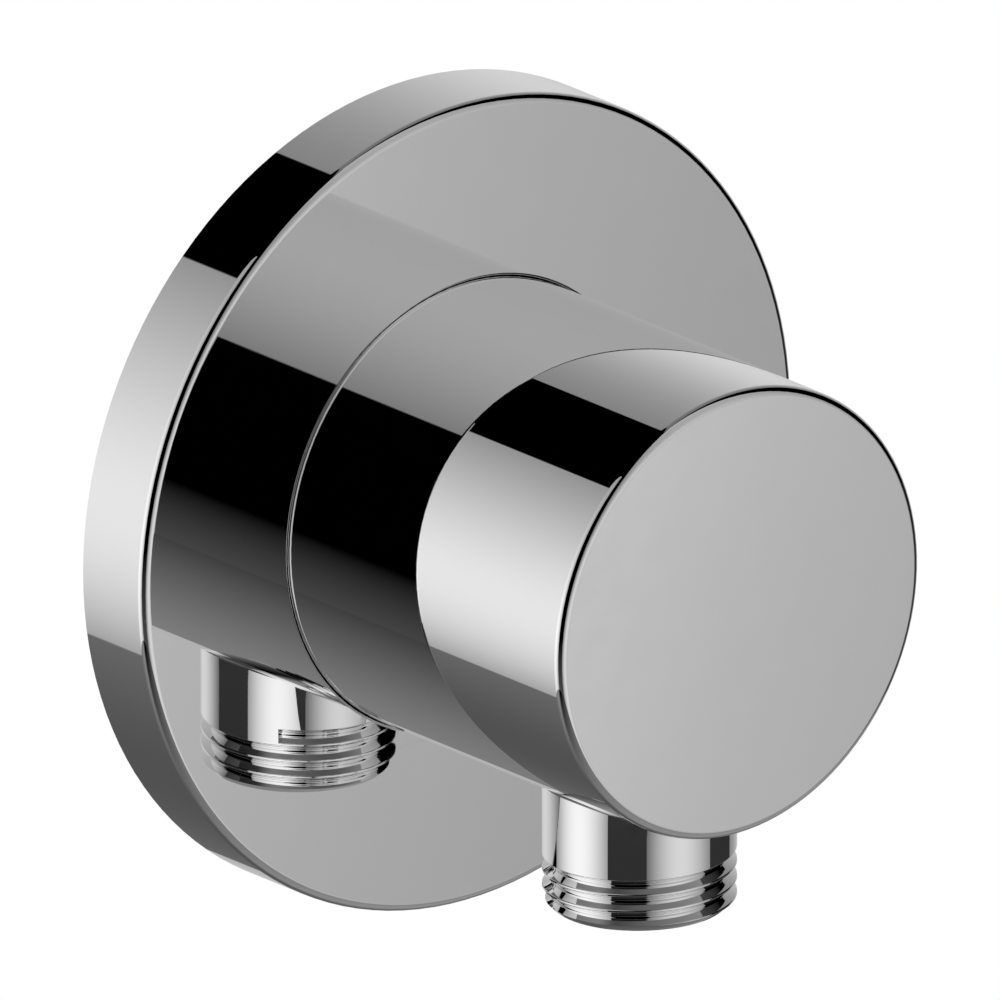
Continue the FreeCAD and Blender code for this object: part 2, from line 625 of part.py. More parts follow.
def make_valve_guide():
    """The moulded guide in the cartridge's outlet: a rim, a hub and the spokes between them."""
    body = valve_body("valve_guide")
    rim = "guide_diameter / 2 - guide_play"
    bore = "stem_diameter / 2 + stem_gap"
    rim_section = outline(body, "guide_rim_section", "YZ_Plane", (
        (f"{rim} - guide_rim", "0"),
        (rim, "0"),
        (rim, "guide_thickness"),
        (f"{rim} - guide_rim", "guide_thickness"),
    ))
    turned(body, "guide_rim_turned", rim_section, "V_Axis")
    spoke_start = "(stem_diameter / 2 + stem_gap + guide_hub / 2) / 2"
    spoke_end = f"({rim} - guide_rim / 2)"
    spoke_section = outline(body, "guide_spoke_section", "XY_Plane", (
        ("0 - guide_spoke / 2", spoke_start),
        ("guide_spoke / 2", spoke_start),
        ("guide_spoke / 2", spoke_end),
        ("0 - guide_spoke / 2", spoke_end),
    ))
    spoke = extruded(body, "guide_first_spoke", spoke_section, "guide_thickness")
    spokes = body.newObject("PartDesign::PolarPattern", "guide_spokes")
    spokes.Originals = [spoke]
    spokes.Axis = (spoke_section, ["N_Axis"])
    spokes.Angle = 360
    spokes.Occurrences = SPOKES
    body.Tip = spokes
    hub_section = outline(body, "guide_hub_section", "YZ_Plane", (
        (bore, "0"),
        ("guide_hub / 2", "0"),
        ("guide_hub / 2", "guide_hub_height"),
        (bore, "guide_hub_height"),
    ))
    turned(body, "guide_hub_turned", hub_section, "V_Axis")


def make_valve_poppet():
    """The moulded poppet, closed: nose, neck for the seal, plate and stem. It opens downwards."""
    body = valve_body("valve_poppet")
    plate = "valve_length - plate_place"
    neck = f"{plate} + plate_thickness"
    cap = f"{neck} + poppet_seal_height"
    section = outline(body, "poppet_section", "YZ_Plane", (
        ("0", "stem_end"),
        ("stem_diameter / 2 - stem_chamfer", "stem_end"),
        ("stem_diameter / 2", "stem_end + stem_chamfer"),
        ("stem_diameter / 2", plate),
        ("plate_diameter / 2", plate),
        ("plate_diameter / 2", neck),
        ("neck_diameter / 2", neck),
        ("neck_diameter / 2", cap),
        ("nose_diameter / 2", cap),
        ("nose_diameter / 2", f"{cap} + nose_rim"),
        ("nose_tip / 2", f"{cap} + nose_rim + nose_height"),
        ("0", f"{cap} + nose_rim + nose_height"),
    ))
    turned(body, "poppet_turned", section, "V_Axis")


def make_poppet_seal():
    """The rubber ring round the poppet's neck, bevelled to the seat's cone."""
    body = valve_body("poppet_seal")
    foot = "valve_length - plate_place + plate_thickness"
    top = f"{foot} + poppet_seal_height"
    outside = "poppet_seal_diameter / 2"
    cone = "valve_length - seat_place + valve_chamber / 2 - poppet_seal_gap * sqrt(2)"
    section = outline(body, "poppet_seal_section", "YZ_Plane", (
        ("neck_diameter / 2", foot),
        (outside, foot),
        (outside, f"{cone} - {outside}"),
        (f"{cone} - ({top})", top),
        ("neck_diameter / 2", top),
    ))
    turned(body, "poppet_seal_turned", section, "V_Axis")


def make_valve_spring():
    """The steel spring round the guide's hub, from the spokes up to the poppet's plate."""
    body = valve_body("valve_spring")
    start = "guide_thickness + spring_wire / 2"
    rise = "valve_length - plate_place - guide_thickness - spring_wire"
    wire = circle(body, "spring_wire_circle", "YZ_Plane", "spring_diameter / 2", start, "spring_wire")
    doc.recompute()
    coil = body.newObject("PartDesign::AdditiveHelix", "spring_coil")
    coil.Profile = wire
    coil.ReferenceAxis = (wire, ["V_Axis"])
    coil.Mode = "height-turns-angle"
    bind(coil, Height=rise, Turns="spring_turns")


def make_valve_o_ring():
    middle = "valve_length - valve_ring_place"
    inside = f"{VALVE_BORE} - 2 * valve_ring_section"
    squeezed_ring(
        "valve_o_ring", middle, inside, "valve_ring_section", "valve_ring_flat",
        upright=True, along_wall_axis=OUTLET_AXIS, drop=VALVE_FOOT,
    )


make_rose()
make_rose_gasket()
squeezed_ring("rose_grip_ring", GRIP_MIDDLE, "body_diameter", "grip_section", "grip_flat")
make_outlet_body()
make_wall_nipple()
make_spigot_rings()
make_grub_screw()
make_valve_housing()
make_valve_o_ring()
make_valve_guide()
make_valve_poppet()
make_poppet_seal()
make_valve_spring()
doc.recompute()

for thing in doc.Objects:
    if {"Invalid", "Error"} & set(thing.State):
        raise RuntimeError(f"{thing.Label}: {thing.State}")

pieces = [thing for thing in doc.Objects if thing.TypeId == "PartDesign::Body"]
for piece in pieces:
    if piece.Shape.isNull() or not piece.Shape.isValid() or len(piece.Shape.Solids) != 1:
        raise RuntimeError(f"{piece.Label}: not one sound solid")

os.makedirs("parts", exist_ok=True)
for piece in pieces:
    piece.Shape.exportStep(f"parts/{piece.Label}.step")
    print(piece.Label, round(piece.Shape.Volume, 1), "mm3")
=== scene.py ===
import json
from math import asin, atan2, cos, hypot, pi, radians, sin, tan

import bpy
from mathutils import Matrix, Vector


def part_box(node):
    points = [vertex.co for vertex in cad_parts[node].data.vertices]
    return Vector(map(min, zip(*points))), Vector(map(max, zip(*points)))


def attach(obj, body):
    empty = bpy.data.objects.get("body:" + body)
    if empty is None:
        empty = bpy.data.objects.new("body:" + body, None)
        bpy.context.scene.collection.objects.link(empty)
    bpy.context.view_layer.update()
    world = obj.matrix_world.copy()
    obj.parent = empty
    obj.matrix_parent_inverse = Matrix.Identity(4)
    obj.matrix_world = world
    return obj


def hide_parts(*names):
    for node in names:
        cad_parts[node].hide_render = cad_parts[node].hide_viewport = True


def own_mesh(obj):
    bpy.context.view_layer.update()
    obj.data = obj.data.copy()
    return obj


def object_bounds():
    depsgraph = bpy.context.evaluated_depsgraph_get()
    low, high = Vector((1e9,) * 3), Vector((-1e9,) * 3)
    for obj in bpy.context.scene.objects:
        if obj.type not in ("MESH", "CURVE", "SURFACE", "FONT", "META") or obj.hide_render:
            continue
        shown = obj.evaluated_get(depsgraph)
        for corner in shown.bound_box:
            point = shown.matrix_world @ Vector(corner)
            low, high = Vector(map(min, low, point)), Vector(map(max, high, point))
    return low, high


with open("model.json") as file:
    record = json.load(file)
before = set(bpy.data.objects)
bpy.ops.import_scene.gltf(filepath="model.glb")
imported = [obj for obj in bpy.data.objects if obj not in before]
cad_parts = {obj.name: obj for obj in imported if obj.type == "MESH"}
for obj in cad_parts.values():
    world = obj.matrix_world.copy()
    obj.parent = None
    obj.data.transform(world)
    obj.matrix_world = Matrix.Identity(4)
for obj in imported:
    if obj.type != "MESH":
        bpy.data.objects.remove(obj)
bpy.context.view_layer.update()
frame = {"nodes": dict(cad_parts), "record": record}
nodes = frame["nodes"]
record = frame["record"]

MM = 0.001

# Rose
# The round cover of the opening in the wall, turned from brass, polished and chromed.
# It slides on the body's shell, where the rubber ring in its collar grips.


# Noise seldom leaves this span.
NOISE_SPAN = (0.3, 0.7)


def finish(name, colour, metallic=0.0):
    """A new finish, with its even values on the shader's own sockets."""
    material = bpy.data.materials.new(name)
    material.use_nodes = True
    shader = material.node_tree.nodes["Principled BSDF"]
    shader.inputs["Base Color"].default_value = (*colour, 1)
    shader.inputs["Metallic"].default_value = metallic
    return material


def grain(material, size, detail=2.0, stretch=(1, 1, 1)):
    """Noise over the piece, with spots about so many metres across, stretched along an axis."""
    tree = material.node_tree
    place = tree.nodes.new("ShaderNodeTexCoord")
    scale = tree.nodes.new("ShaderNodeMapping")
    scale.inputs["Scale"].default_value = [1 / (size * along) for along in stretch]
    spots = tree.nodes.new("ShaderNodeTexNoise")
    spots.inputs["Scale"].default_value = 1
    spots.inputs["Detail"].default_value = detail
    tree.links.new(place.outputs["Object"], scale.inputs["Vector"])
    tree.links.new(scale.outputs["Vector"], spots.inputs["Vector"])
    return spots.outputs["Fac"]


def vary(material, socket, pattern, low, high):
    """Lets a pattern drive a number of the shader between two values."""
    tree = material.node_tree
    span = tree.nodes.new("ShaderNodeMapRange")
    span.inputs["From Min"].default_value, span.inputs["From Max"].default_value = NOISE_SPAN
    span.inputs["To Min"].default_value = low
    span.inputs["To Max"].default_value = high
    tree.links.new(pattern, span.inputs["Value"])
    tree.links.new(span.outputs["Result"], tree.nodes["Principled BSDF"].inputs[socket])


def tint(material, pattern, first, second):
    """Lets a pattern mix two colours."""
    tree = material.node_tree
    mix = tree.nodes.new("ShaderNodeMix")
    mix.data_type = "RGBA"
    mix.inputs["A"].default_value = (*first, 1)
    mix.inputs["B"].default_value = (*second, 1)
    tree.links.new(pattern, mix.inputs["Factor"])
    tree.links.new(mix.outputs["Result"], tree.nodes["Principled BSDF"].inputs["Base Color"])


def relief(material, pattern, height, under=None):
    """Raises a pattern so many metres, on top of another relief if there is one."""
    tree = material.node_tree
    bump = tree.nodes.new("ShaderNodeBump")
    bump.inputs["Distance"].default_value = height
    tree.links.new(pattern, bump.inputs["Height"])
    if under is not None:
        tree.links.new(under, bump.inputs["Normal"])
    tree.links.new(bump.outputs["Normal"], tree.nodes["Principled BSDF"].inputs["Normal"])
    return bump.outputs["Normal"]


def polished_chrome():
    """Bright nickel and chromium on polished brass: a mirror with the faintest wave and haze."""
    chrome = finish("polished_chrome", (0.97, 0.97, 0.97), metallic=1.0)
    haze = grain(chrome, 4 * MM, detail=6)
    tint(chrome, haze, (0.96, 0.96, 0.96), (0.98, 0.98, 0.98))
    vary(chrome, "Roughness", haze, 0.008, 0.022)
    relief(chrome, grain(chrome, 9 * MM, detail=1), 0.0003 * MM)
    return chrome


RIM_ROUNDING = 1.0 * MM
HOLE_ROUNDING = 0.4 * MM
ROSE_FLOOR = -8.0 * MM
CORNER_ROUNDING = 1.0 * MM
RIM_STEPS = 12

# Places nearer to each other than the first are one, and within a hair of a surface they lie on it.
MERGE = 0.001 * MM
HAIR = 0.004 * MM


def chosen(piece):
    """Leaves one piece selected and active."""
    bpy.ops.object.select_all(action="DESELECT")
    piece.select_set(True)
    bpy.context.view_layer.objects.active = piece


def blank_of(node, name):
    """A closed copy of a node, to cut fine detail into, which keeps the node's curvature."""
    blank = bpy.data.objects.new(name, nodes[node].data.copy())
    bpy.context.scene.collection.objects.link(blank)
    chosen(blank)
    bpy.ops.object.mode_set(mode="EDIT")
    bpy.ops.mesh.select_all(action="SELECT")
    bpy.ops.mesh.remove_doubles(threshold=MERGE, use_sharp_edge_from_normals=True)
    bpy.ops.object.mode_set(mode="OBJECT")
    return blank


def radius_of(piece, flat, rounding, choose):
    """The radius of the round side or hole that a rounded edge joins to a flat."""
    radii = []
    for vertex in piece.data.vertices:
        if flat - HAIR < vertex.co.y < flat + rounding + HAIR:
            radii.append(hypot(*vertex.co.xz))
    return round(choose(radii) / MM, 2) * MM


def at_flat(place, flat):
    """Is a place on the flat?"""
    return abs(place.y - flat) < HAIR


def on_edge(place, flat, edge):
    """Is a place on the rounded edge between a round side and the flat?"""
    radius, rounding, flat_radius = edge
    inside, outside = sorted((radius, flat_radius))
    near = flat - HAIR < place.y < flat + rounding + HAIR
    return near and inside - HAIR < hypot(*place.xz) < outside + HAIR


def turn_edge_again(piece, flat, edge):
    """Turns a rounded edge anew, in even steps from a round side to the flat, which is left open."""
    mesh = piece.data
    radius, rounding, flat_radius = edge
    side_end = flat + rounding
    chosen(piece)
    bpy.ops.object.mode_set(mode="EDIT")
    bpy.ops.mesh.select_mode(type="FACE")
    bpy.ops.mesh.select_all(action="DESELECT")
    bpy.ops.object.mode_set(mode="OBJECT")
    for face in mesh.polygons:
        places = [mesh.vertices[corner].co for corner in face.vertices]
        rounded = all(on_edge(place, flat, edge) for place in places)
        face.select = rounded or all(at_flat(place, flat) for place in places)
    bpy.ops.object.mode_set(mode="EDIT")
    bpy.ops.mesh.delete(type="FACE")
    bpy.ops.mesh.select_mode(type="EDGE")
    bpy.ops.mesh.select_all(action="DESELECT")
    bpy.ops.object.mode_set(mode="OBJECT")
    for line in mesh.edges:
        ends = [mesh.vertices[end].co for end in line.vertices]
        line.select = all(on_edge(end, flat, edge) and end.y > side_end - HAIR for end in ends)
    bpy.ops.object.mode_set(mode="EDIT")
    here, width = side_end, radius
    for step in range(1, RIM_STEPS + 1):
        bend = pi / 2 * step / RIM_STEPS
        there = side_end - rounding * sin(bend)
        next_width = flat_radius + (radius - flat_radius) * cos(bend)
        growth = next_width / width
        bpy.ops.mesh.extrude_region()
        bpy.ops.transform.translate(value=(0, there - here, 0))
        bpy.ops.transform.resize(value=(growth, 1, growth), center_override=(0, 0, 0))
        here, width = there, next_width
    bpy.ops.object.mode_set(mode="OBJECT")


def close_flat(piece, flat, edges, facing):
    """Fills an open flat, and gives it and the rounded edges round it their exact curvature."""
    chosen(piece)
    bpy.ops.object.mode_set(mode="EDIT")
    bpy.ops.mesh.select_all(action="DESELECT")
    bpy.ops.mesh.select_non_manifold()
    bpy.ops.mesh.fill(use_beauty=False)
    bpy.ops.mesh.select_all(action="SELECT")
    bpy.ops.mesh.normals_make_consistent(inside=False)
    bpy.ops.object.mode_set(mode="OBJECT")

    mesh = piece.data
    normals = [corner.vector.copy() for corner in mesh.corner_normals]
    for face in mesh.polygons:
        face.use_smooth = True
        places = [mesh.vertices[corner].co for corner in face.vertices]
        if all(at_flat(place, flat) for place in places):
            for index in face.loop_indices:
                normals[index] = Vector((0, facing, 0))
            continue
        for edge in edges:
            if all(on_edge(place, flat, edge) for place in places):
                radius, rounding, flat_radius = edge
                for index, place in zip(face.loop_indices, places):
                    out = Vector((place.x, 0, place.z))
                    across = out.normalized() * (out.length - flat_radius)
                    away = Vector((0, place.y - flat - rounding, 0))
                    normals[index] = -facing * (across + away).normalized()
    mesh.normals_split_custom_set(normals)


def true_round(piece, radius):
    """Gives a round side its exact curvature, also at the seam where it starts and ends."""
    mesh = piece.data
    normals = [corner.vector.copy() for corner in mesh.corner_normals]
    for face in mesh.polygons:
        places = [mesh.vertices[corner].co for corner in face.vertices]
        if all(abs(hypot(*place.xz) - radius) < MERGE for place in places):
            for index, place in zip(face.loop_indices, places):
                normals[index] = Vector((place.x, 0, place.z)).normalized()
    mesh.normals_split_custom_set(normals)


def turn_front_again(piece, hole=False):
    """Turns the rounded rim of a piece's front anew, and the rounded edge of the hole in it."""
    front = round(min(vertex.co.y for vertex in piece.data.vertices) / MM, 2) * MM
    rim = radius_of(piece, front, RIM_ROUNDING, max)
    edges = [(rim, RIM_ROUNDING, rim - RIM_ROUNDING)]
    if hole:
        bore = radius_of(piece, front, HOLE_ROUNDING, min)
        edges.append((bore, HOLE_ROUNDING, bore + HOLE_ROUNDING))
    for edge in edges:
        turn_edge_again(piece, front, edge)
    close_flat(piece, front, edges, -1)
    true_round(piece, rim)


def in_place_of(piece, node, body, material):
    """Hands a finished piece over to the frame."""
    piece.data.materials.clear()
    piece.data.materials.append(material)
    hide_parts(node)
    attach(piece, body)


chrome = polished_chrome()
rose = blank_of("rose", "rose_chromed")
turn_front_again(rose, hole=True)
inside = radius_of(rose, ROSE_FLOOR, CORNER_ROUNDING, max)
corner = (inside, CORNER_ROUNDING, inside - CORNER_ROUNDING)
turn_edge_again(rose, ROSE_FLOOR, corner)
close_flat(rose, ROSE_FLOOR, [corner], 1)
in_place_of(rose, "rose", "elbow", chrome)

# Rose gasket
# A flat ring of grey rubber, moulded whole and pressed into the groove in the rose's rear rim.
# It seals the rose on the tiles.


def moulded_rubber(name, dark, light):
    """Rubber as it comes from a spark-eroded mould: fine grain and a little bloom."""
    rubber = finish(name, dark)
    bloom = grain(rubber, 2.5 * MM, detail=5)
    tint(rubber, bloom, dark, light)
    vary(rubber, "Roughness", bloom, 0.5, 0.68)
    relief(rubber, grain(rubber, 0.12 * MM, detail=3), 0.004 * MM)
    return rubber


def wear(node, material):
    """Gives a node its finish."""
    nodes[node].data.materials[0] = material


grey_rubber = moulded_rubber("grey_rubber", (0.10, 0.105, 0.11), (0.15, 0.155, 0.16))
wear("rose_gasket", grey_rubber)

# Grip ring
# A black rubber ring, squeezed between the rose's collar and the body, so that the rose stays
# where it is pushed.

black_rubber = moulded_rubber("black_rubber", (0.012, 0.012, 0.013), (0.028, 0.028, 0.03))
wear("rose_grip_ring", black_rubber)

# Outlet body
# One brass casting, turned, bored, polished and chromed, and held on the nipple's spigot by the
# grub screw. The right-hand G1/2 thread of its hose outlet is cut down from a square stop.

PIPE_THREAD = {
    "pitch": 1.814 * MM, "depth": 1.1 * MM, "flank": radians(27.5), "root": 0.36 * MM, "crest": 0.15 * MM,
}
SCREW_THREAD = {
    "pitch": 1.0 * MM, "depth": 0.61 * MM, "flank": radians(30), "root": 0.14 * MM, "crest": 0.08 * MM,
}
CREST_END = radians(14)
ARC_STEPS = 6
CUT_CLEAR = 0.012 * MM
CUT_REACH = 0.15 * MM
CREASE = radians(32)
STRAY_ON_TOP = radians(34)
STRAY_IN_GROOVE = radians(14)


def crest_place(form):
    """How far from the groove's middle the flat of the crest would start."""
    flank, root = form["flank"], form["root"]
    straight = root * cos(flank) + (form["depth"] - root + root * sin(flank)) * tan(flank)
    return straight + form["crest"] * tan((pi / 2 - flank) / 2)


def groove_outline(radius, form):
    """One turn's cutting profile, as pairs of place along the axis and distance from it.
    It runs from the root's middle over a flank and the rounded crest to clear of the metal."""
    root, crest = form["root"], form["crest"]
    steep = pi / 2 - form["flank"]
    half = []
    for step in range(ARC_STEPS + 1):
        lean = steep * step / ARC_STEPS
        half.append((root * sin(lean), form["depth"] - root + root * cos(lean)))
    for step in range(ARC_STEPS + 1):
        lean = steep + (CREST_END - steep) * step / ARC_STEPS
        half.append((crest_place(form) - crest * sin(lean), crest * (1 - cos(lean))))
    edge, depth = half[-1]
    edge += (depth + CUT_CLEAR) / tan(CREST_END)
    half.append((edge, -CUT_CLEAR))
    half.append((edge, -CUT_REACH))
    outline = [(-along, deep) for along, deep in reversed(half[1:])] + half
    return [(along, radius - deep) for along, deep in outline]


def facet_angles(piece, radius, axis, foot):
    """The directions in which the round piece's surface has its lines, round an axis."""
    angles = set()
    for vertex in piece.data.vertices:
        x, y, z = vertex.co - foot
        across, up = (x, y) if axis == "Z" else (z, x)
        if abs(hypot(across, up) - radius) < MERGE:
            angles.add(round(atan2(up, across), 4))
    return sorted(angles)


def cut_thread(piece, form, radius, axis, foot, stop, turns, parts=1):
    """Cuts a right-hand thread round an axis through foot, in turns that end near an angle.
    The cut takes each facet of the piece's own surface in equal parts, so that the crests come
    out even."""
    lines = facet_angles(piece, radius, axis, foot)
    step = 2 * pi / (len(lines) * parts)
    start = lines[0] + step * round((stop - lines[0]) / step)
    outline = groove_outline(radius, form)
    bpy.ops.object.select_all(action="DESELECT")
    bpy.ops.mesh.primitive_circle_add(vertices=len(outline), radius=radius)
    cutter = bpy.context.object
    for vertex, (along, out) in zip(cutter.data.vertices, outline):
        if axis == "Z":
            vertex.co = (out * cos(start), out * sin(start), along)
        else:
            vertex.co = (out * sin(start), along, out * cos(start))
    screw = cutter.modifiers.new("turns", "SCREW")
    screw.axis = axis
    screw.angle = 2 * pi
    screw.screw_offset = form["pitch"]
    screw.iterations = turns
    screw.steps = screw.render_steps = parts * len(lines)
    screw.use_smooth_shade = False
    bpy.ops.object.modifier_apply(modifier=screw.name)
    bpy.ops.object.mode_set(mode="EDIT")
    bpy.ops.mesh.select_all(action="SELECT")
    bpy.ops.mesh.fill_holes(sides=0)
    bpy.ops.mesh.select_all(action="SELECT")
    bpy.ops.mesh.normals_make_consistent(inside=False)
    bpy.ops.object.mode_set(mode="OBJECT")
    cutter.location = foot
    chosen(piece)
    cut = piece.modifiers.new("thread", "BOOLEAN")
    cut.operation = "DIFFERENCE"
    cut.solver = "EXACT"
    cut.object = cutter
    bpy.ops.object.modifier_apply(modifier=cut.name)
    bpy.data.objects.remove(cutter)
    return {
        "form": form, "radius": radius, "axis": axis, "foot": foot, "start": start, "lines": len(lines),
    }


def twin_of(piece):
    """A second piece of the same shape."""
    twin = bpy.data.objects.new("twin", piece.data.copy())
    bpy.context.scene.collection.objects.link(twin)
    return twin


def polish(piece, uncut, cut_here):
    """Takes the uncut piece's true curvature where no thread was cut."""
    away = piece.vertex_groups.new(name="away from the thread")
    far = [vertex.index for vertex in piece.data.vertices if not cut_here(vertex.co)]
    away.add(far, 1.0, "REPLACE")
    same = piece.modifiers.new("curvature", "DATA_TRANSFER")
    same.object = uncut
    same.use_loop_data = True
    same.data_types_loops = {"CUSTOM_NORMAL"}
    same.loop_mapping = "NEAREST_POLYNOR"
    same.vertex_group = away.name
    bpy.ops.object.modifier_apply(modifier=same.name)
    piece.vertex_groups.clear()
    bpy.data.objects.remove(uncut)


def lean_of_thread(form, off):
    """The slope of the thread's surface, so far along the axis from the groove's middle."""
    steep = pi / 2 - form["flank"]
    by_root = asin(min(abs(off) / form["root"], 1))
    by_crest = asin(min(max((crest_place(form) - abs(off)) / form["crest"], 0), 1))
    lean = min(by_root, by_crest, steep)
    return -lean if off > 0 else lean


def true_thread(piece, thread, ends):
    """Smooths a thread, and gives its root, flanks and crest their exact curvature."""
    form, radius, foot = thread["form"], thread["radius"], thread["foot"]
    chosen(piece)
    bpy.ops.mesh.customdata_custom_splitnormals_clear()
    bpy.ops.object.shade_smooth_by_angle(angle=CREASE)
    mesh = piece.data
    pitch = form["pitch"]
    chord = radius * (1 - cos(pi / thread["lines"])) + MERGE
    upright = thread["axis"] == "Z"
    main = Vector((0, 0, 1)) if upright else Vector((0, 1, 0))
    normals = [corner.vector.copy() for corner in mesh.corner_normals]
    for face in mesh.polygons:
        for index in face.loop_indices:
            place = mesh.vertices[mesh.loops[index].vertex_index].co - foot
            along = place.dot(main)
            if not ends[0] <= along <= ends[1]:
                continue
            radial = place - main * along
            out = radial.length
            if out < radius - form["depth"] - chord or out > radius + chord:
                continue
            radial.normalize()
            angle = atan2(radial.y, radial.x) if upright else atan2(radial.x, radial.z)
            turned = (angle - thread["start"]) / (2 * pi)
            off = (along - pitch * turned + pitch / 2) % pitch - pitch / 2
            lean = 0 if out > radius - chord else lean_of_thread(form, off)
            twist = main.cross(radial) * (-sin(lean) * pitch / (2 * pi * out))
            way = (radial * cos(lean) + main * sin(lean) + twist).normalized()
            if way.dot(face.normal) > cos(STRAY_ON_TOP if lean == 0 else STRAY_IN_GROOVE):
                normals[index] = way
    mesh.normals_split_custom_set(normals)


valve_low, valve_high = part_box("valve_housing")
outlet_axis = (valve_low + valve_high) / 2
hose_thread = next(mount for mount in record["mounts"] if mount["name"] == "hose_outlet")
thread_radius = hose_thread["dims"]["r_mm"] * MM

HOSE_TURNS = 5
HOSE_STOP_ANGLE = radians(141.6)
HOSE_STOP = -30.8 * MM

body = blank_of("outlet_body", "outlet_body_chromed")
turn_front_again(body)
uncut_body = twin_of(body)
hose_foot = Vector((outlet_axis.x, outlet_axis.y, HOSE_STOP - HOSE_TURNS * PIPE_THREAD["pitch"]))
thread = cut_thread(
    body, PIPE_THREAD, thread_radius, "Z", hose_foot, stop=HOSE_STOP_ANGLE, turns=HOSE_TURNS, parts=2,
)
true_thread(body, thread, (0, HOSE_STOP + MM - hose_foot.z))
polish(body, uncut_body, lambda place: place.z < HOSE_STOP + MM)
in_place_of(body, "outlet_body", "elbow", chrome)

# Wall nipple
# Turned from brass bar and left bare. Its thread is sealed into the fitting behind the wall, with
# a key in the hexagon, and the body slides over its two rubber rings.


def lathe_lines(material, spacing, axis, waver=1.5):
    """Fine rings round an axis, as a turning tool leaves them."""
    tree = material.node_tree
    place = tree.nodes.new("ShaderNodeTexCoord")
    rings = tree.nodes.new("ShaderNodeTexWave")
    rings.bands_direction = axis
    rings.inputs["Scale"].default_value = pi / (10 * spacing)
    rings.inputs["Distortion"].default_value = waver
    rings.inputs["Detail"].default_value = 2
    tree.links.new(place.outputs["Object"], rings.inputs["Vector"])
    return rings.outputs["Fac"]


def turned_brass():
    """Bare brass as the lathe leaves it: fine rings, and a little tarnish."""
    brass = finish("bare_brass", (0.62, 0.42, 0.17), metallic=1.0)
    tarnish = grain(brass, 5 * MM, detail=6)
    tint(brass, tarnish, (0.66, 0.46, 0.19), (0.50, 0.31, 0.11))
    vary(brass, "Roughness", tarnish, 0.2, 0.34)
    rings = relief(brass, lathe_lines(brass, 0.16 * MM, "Y"), 0.0025 * MM)
    relief(brass, grain(brass, 0.3 * MM), 0.001 * MM, under=rings)
    return brass


WALL_TURNS = 8
WALL_THREAD_START = 2.2 * MM

brass = turned_brass()
nipple = blank_of("wall_nipple", "wall_nipple_turned")
uncut_nipple = twin_of(nipple)
wall_foot = Vector((0, WALL_THREAD_START, 0))
thread = cut_thread(nipple, PIPE_THREAD, thread_radius, "Y", wall_foot, stop=0.0, turns=WALL_TURNS)
true_thread(nipple, thread, (-WALL_THREAD_START, WALL_TURNS * PIPE_THREAD["pitch"]))
polish(nipple, uncut_nipple, lambda place: place.y > WALL_THREAD_START - MM)
in_place_of(nipple, "wall_nipple", "elbow", brass)

# Spigot rings
# Two black rubber rings, moulded whole and stretched into the grooves of the nipple's spigot.
# They seal the water between the spigot and the body's socket.

for ring in ("spigot_o_ring_inner", "spigot_o_ring_outer"):
    wear(ring, black_rubber)

# Grub screw
# An M6 screw of stainless steel with a hexagon socket, driven up from below into the spigot's
# groove, which pulls the body to the wall.


def turned_stainless():
    """Stainless steel, bright from the lathe, with its rings hardly to be seen."""
    steel = finish("stainless_steel", (0.56, 0.555, 0.54), metallic=1.0)
    haze = grain(steel, 1.2 * MM, detail=5)
    tint(steel, haze, (0.52, 0.515, 0.50), (0.60, 0.595, 0.58))
    vary(steel, "Roughness", haze, 0.16, 0.3)
    relief(steel, lathe_lines(steel, 0.07 * MM, "Z", waver=2.5), 0.0012 * MM)
    return steel


SCREW_TURNS = 12

steel = turned_stainless()
screw_low, screw_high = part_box("grub_screw")
screw_axis = Vector([round(value / MM, 2) * MM for value in (screw_low + screw_high) / 2])
screw_radius = round((screw_high.x - screw_low.x) / 2 / MM, 2) * MM
screw = blank_of("grub_screw", "grub_screw_threaded")
screw_foot = Vector((screw_axis.x, screw_axis.y, screw_low.z - SCREW_THREAD["pitch"]))
thread = cut_thread(screw, SCREW_THREAD, screw_radius, "Z", screw_foot, stop=0.0, turns=SCREW_TURNS)
true_thread(screw, thread, (0, screw_high.z - screw_foot.z))
in_place_of(screw, "grub_screw", "elbow", steel)

# Check valve housing
# A cartridge moulded in white acetal, pushed up the outlet to the step above it. It holds the
# throat and the conical seat.


def moulded_acetal(name, colour, deeper):
    """Acetal with the soft sheen of a fine mould, and the faintest flow marks."""
    acetal = finish(name, colour)
    flow = grain(acetal, 3 * MM, detail=3, stretch=(1, 1, 3))
    tint(acetal, flow, colour, deeper)
    vary(acetal, "Roughness", flow, 0.3, 0.42)
    relief(acetal, grain(acetal, 0.15 * MM, detail=2), 0.0015 * MM)
    shader = acetal.node_tree.nodes["Principled BSDF"]
    shader.inputs["Subsurface Weight"].default_value = 0.12
    shader.inputs["Subsurface Scale"].default_value = 0.6 * MM
    return acetal


white_acetal = moulded_acetal("white_acetal", (0.80, 0.80, 0.77), (0.74, 0.74, 0.70))
wear("valve_housing", white_acetal)

# Cartridge ring
# A black rubber ring, moulded whole and stretched into the cartridge's groove.
# It seals the cartridge in its bore and holds it there.

wear("valve_o_ring", black_rubber)

# Valve guide
# The moulded guide that snaps into the cartridge's outlet. Its hub guides the poppet's stem, and
# its spokes carry the spring.

wear("valve_guide", white_acetal)

# Poppet
# The valve's moving piece, moulded in blue acetal, with its stem in the guide's hub.
# The water pushes it down off its seat, and the spring shuts it again.

wear("valve_poppet", moulded_acetal("blue_acetal", (0.03, 0.12, 0.34), (0.02, 0.09, 0.27)))

# Poppet seal
# A bevelled ring of black rubber, moulded whole and stretched on round the poppet's neck.
# It closes on the cartridge's conical seat.

wear("poppet_seal", black_rubber)

# Valve spring
# Stainless steel wire, coiled round the guide's hub between its spokes and the poppet's plate.
# It shortens as the poppet opens.

